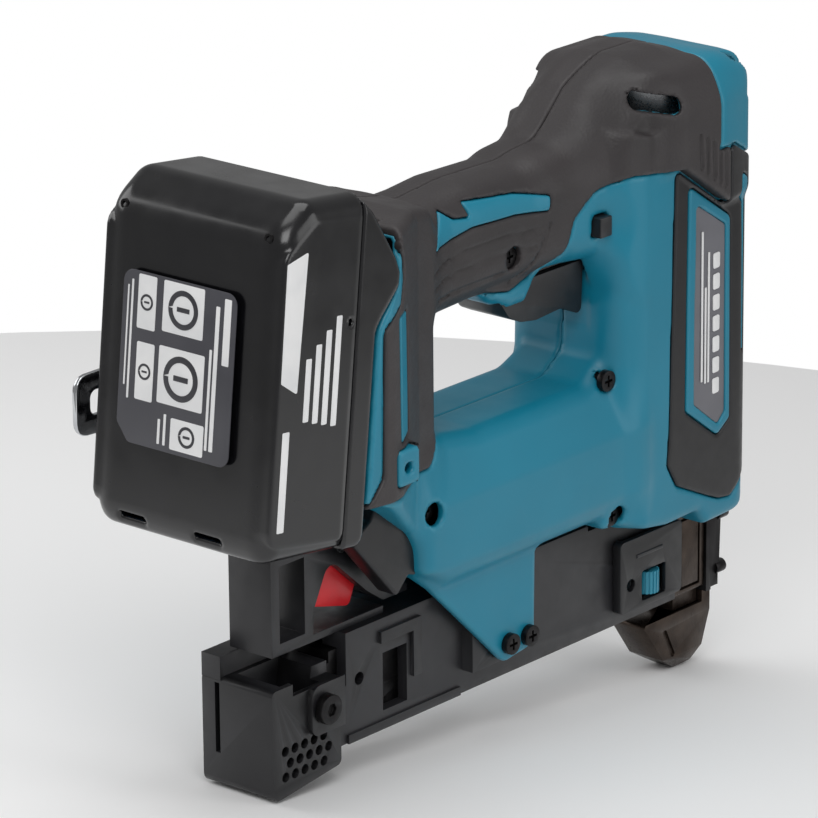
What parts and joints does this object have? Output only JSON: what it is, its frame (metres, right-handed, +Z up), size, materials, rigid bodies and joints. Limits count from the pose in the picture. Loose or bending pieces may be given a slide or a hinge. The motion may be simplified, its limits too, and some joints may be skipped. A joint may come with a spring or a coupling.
{
  "type": "cordless brad nailer",
  "caption": "Cordless brad nailer: geared air-spring driver, contact nose, rear-loading brad magazine, overmoulded handle with trigger, and a slide-on battery pack.",
  "frame": {"origin": "brad exit at the nose tip, on the driver axis", "axes": "+X to the tool's front, +Y to its left, +Z up along the driver, away from the work"},
  "size_m": [0.2711, 0.0827, 0.228],
  "materials": {
    "teal_shell": "satin",
    "grip_rubber": "matte",
    "black_plastic": "satin",
    "gloss_black": "gloss",
    "red_plastic": "gloss",
    "cream_plastic": "satin",
    "plate_grey": "satin",
    "dark_steel": "satin",
    "steel": "satin",
    "chrome_steel": "polished",
    "cast_alloy": "matte",
    "board": "satin",
    "seal_rubber": "matte",
    "cell_wrap": "satin",
    "brad_steel": "satin"
  },
  "bodies": {
    "housing": {"housing_right": "teal_shell", "housing_left": "teal_shell", "front_cap": "teal_shell", "grip_right": "grip_rubber", "grip_left": "grip_rubber", "bumper_right": "black_plastic", "bumper_left": "black_plastic", "trigger_switch": "black_plastic", "terminal_block": "black_plastic", "selector_cover": "black_plastic", "magazine_body": "black_plastic", "rear_bracket": "black_plastic", "name_plate": "plate_grey", "housing_screws": "dark_steel", "flange_screws": "dark_steel", "nose_screws": "dark_steel", "hook_screw": "dark_steel", "trigger_spring": "steel", "contact_spring": "steel", "controller_board": "board", "motor_can": "cast_alloy", "gear_case": "cast_alloy", "pressure_chamber": "cast_alloy", "cylinder": "cast_alloy", "ring_gear": "steel", "drive_bearings": "steel", "latch_pin": "steel", "stop_bumper": "seal_rubber", "nose_frame": "dark_steel", "belt_hook": "chrome_steel"},
    "trigger": {"trigger": "black_plastic"},
    "lock": {"lock_button": "black_plastic"},
    "rotor": {"motor_shaft": "steel", "cooling_fan": "black_plastic"},
    "carrier": {"planet_carrier": "steel"},
    "planet_1": {"planet_gear_1": "steel"},
    "planet_2": {"planet_gear_2": "steel"},
    "planet_3": {"planet_gear_3": "steel"},
    "lifter": {"lifter_shaft": "steel"},
    "driver": {"piston": "cast_alloy", "piston_seal": "seal_rubber", "driver_blade": "steel", "blade_pin": "steel"},
    "contact": {"contact_arm": "dark_steel", "contact_foot": "dark_steel"},
    "wheel": {"depth_wheel": "teal_shell"},
    "magazine": {"magazine_rail": "dark_steel", "magazine_cap": "black_plastic", "cap_bolts": "dark_steel", "brad_stick": "brad_steel"},
    "pusher": {"pusher": "dark_steel", "pusher_spring": "steel"},
    "latch": {"latch_lever": "red_plastic"},
    "battery": {"battery_case": "gloss_black", "battery_cover": "black_plastic", "battery_cells": "cell_wrap", "battery_board": "board", "battery_screws": "dark_steel"},
    "release": {"battery_button": "cream_plastic"}
  },
  "joints": [
    {"name": "trigger_pull", "type": "slide", "parent": "housing", "child": "trigger", "axis": [0, 0, 1], "range_m": [0, 0.005], "stiffness_N_per_m": 400, "springref_m": -0.005, "deforming": ["trigger_spring"]},
    {"name": "lock_push", "type": "slide", "parent": "housing", "child": "lock", "axis": [0, 1, 0], "range_m": [0, 0.003]},
    {"name": "lifter_spin", "type": "hinge", "parent": "housing", "child": "lifter", "pos_m": [0, 0.0106, 0.11646], "axis": [-1, 0, 0], "range_deg": [0, 343.8]},
    {"name": "driver_lift", "type": "slide", "parent": "housing", "child": "driver", "axis": [0, 0, 1], "range_m": [0, 0.06]},
    {"name": "carrier_spin", "type": "hinge", "parent": "housing", "child": "carrier", "pos_m": [-0.06, 0, 0.0995], "axis": [-1, 0, 0], "range_deg": [-516, 0]},
    {"name": "motor_spin", "type": "hinge", "parent": "housing", "child": "rotor", "pos_m": [-0.12, 0, 0.0995], "axis": [-1, 0, 0], "range_deg": [-2064, 0]},
    {"name": "planet_1_spin", "type": "hinge", "parent": "carrier", "child": "planet_1", "pos_m": [-0.08, 0, 0.1115], "axis": [-1, 0, 0], "range_deg": [0, 1548]},
    {"name": "planet_2_spin", "type": "hinge", "parent": "carrier", "child": "planet_2", "pos_m": [-0.08, -0.01039, 0.0935], "axis": [-1, 0, 0], "range_deg": [0, 1548]},
    {"name": "planet_3_spin", "type": "hinge", "parent": "carrier", "child": "planet_3", "pos_m": [-0.08, 0.01039, 0.0935], "axis": [-1, 0, 0], "range_deg": [0, 1548]},
    {"name": "contact_press", "type": "slide", "parent": "housing", "child": "contact", "axis": [0, 0, 1], "range_m": [0, 0.006], "stiffness_N_per_m": 500, "springref_m": -0.006, "deforming": ["contact_spring"]},
    {"name": "wheel_turn", "type": "hinge", "parent": "housing", "child": "wheel", "pos_m": [-0.0305, -0.0124, 0.042], "axis": [0, 0, 1], "range_deg": [-170, 170]},
    {"name": "magazine_slide", "type": "slide", "parent": "housing", "child": "magazine", "axis": [-1, 0, 0], "range_m": [0, 0.13]},
    {"name": "pusher_slide", "type": "slide", "parent": "magazine", "child": "pusher", "axis": [-1, 0, 0], "range_m": [0, 0.09], "stiffness_N_per_m": 20, "springref_m": -0.25},
    {"name": "latch_turn", "type": "hinge", "parent": "housing", "child": "latch", "pos_m": [-0.184, 0, 0.096], "axis": [0, 1, 0], "range_deg": [0, 12], "stiffness_Nm_per_rad": 0.05, "springref_deg": -22.92},
    {"name": "battery_slide", "type": "slide", "parent": "housing", "child": "battery", "axis": [0.1132, 0, 0.9936], "range_m": [0, 0.085]},
    {"name": "release_press", "type": "slide", "parent": "battery", "child": "release", "axis": [-0.1132, 0, -0.9936], "range_m": [0, 0.0035], "stiffness_N_per_m": 500, "springref_m": -0.004}
  ],
  "couplings": [
    {"joint": "lifter_spin", "follows": "driver_lift", "rad_per_m": 100},
    {"joint": "carrier_spin", "follows": "driver_lift", "rad_per_m": -150},
    {"joint": "motor_spin", "follows": "driver_lift", "rad_per_m": -600},
    {"joint": "planet_1_spin", "follows": "driver_lift", "rad_per_m": 450},
    {"joint": "planet_2_spin", "follows": "driver_lift", "rad_per_m": 450},
    {"joint": "planet_3_spin", "follows": "driver_lift", "rad_per_m": 450}
  ]
}
